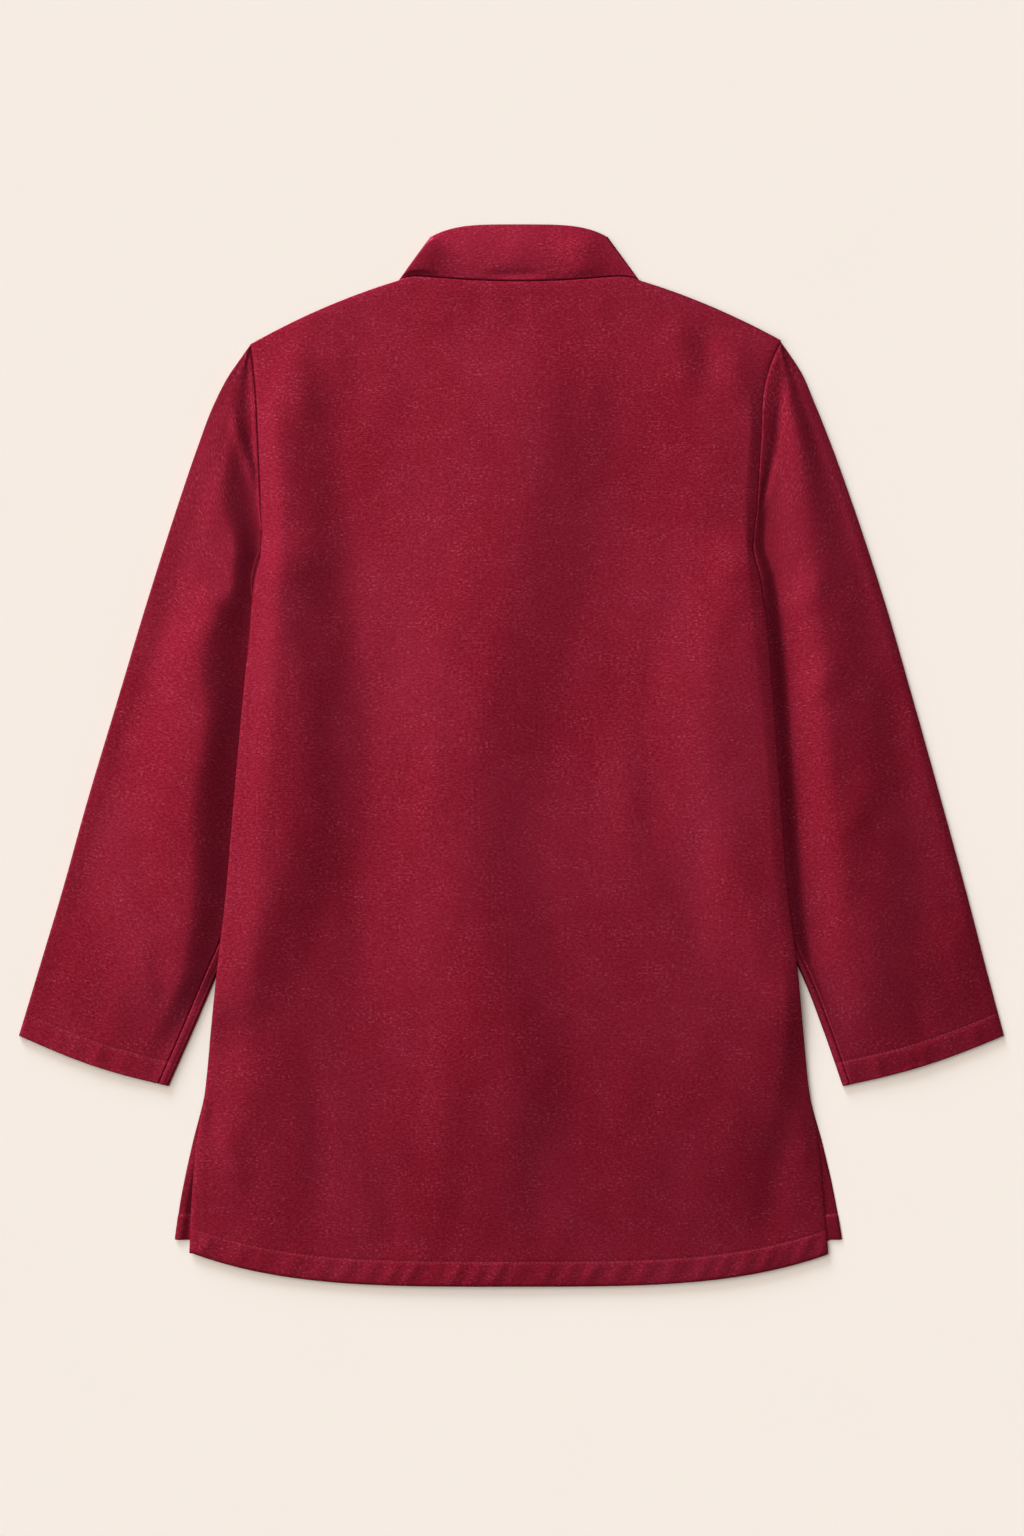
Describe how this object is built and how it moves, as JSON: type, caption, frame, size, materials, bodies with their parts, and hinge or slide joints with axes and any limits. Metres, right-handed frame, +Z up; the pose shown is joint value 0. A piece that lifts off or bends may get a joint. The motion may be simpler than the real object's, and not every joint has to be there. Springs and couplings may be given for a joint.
{
  "type": "kurta tunic laid flat",
  "caption": "Short long-sleeved tunic of plain maroon silk with a band collar, side slits and a curved hem, laid flat with its back up",
  "frame": {"origin": "centre of the garment's outline, on the surface that it lies on", "axes": "+Z up, away from the surface, out of the garment's back; +Y along the garment's length, from hem to collar; +X towards the wearer's right sleeve"},
  "size_m": [0.7876, 0.8492, 0.008],
  "materials": {
    "body_silk": "maroon slub silk with a soft sheen",
    "sleeve_silk": "maroon slub silk with a soft sheen, weave along the sleeve",
    "collar_silk": "maroon slub silk, interlined and firm",
    "placket_silk": "maroon slub silk, folded double"
  },
  "bodies": {
    "root": {"back_panel": "body_silk", "front_panel": "body_silk", "sleeve_left": "sleeve_silk", "sleeve_right": "sleeve_silk", "collar": "collar_silk", "placket_over": "placket_silk", "placket_under": "placket_silk"}
  },
  "joints": []
}
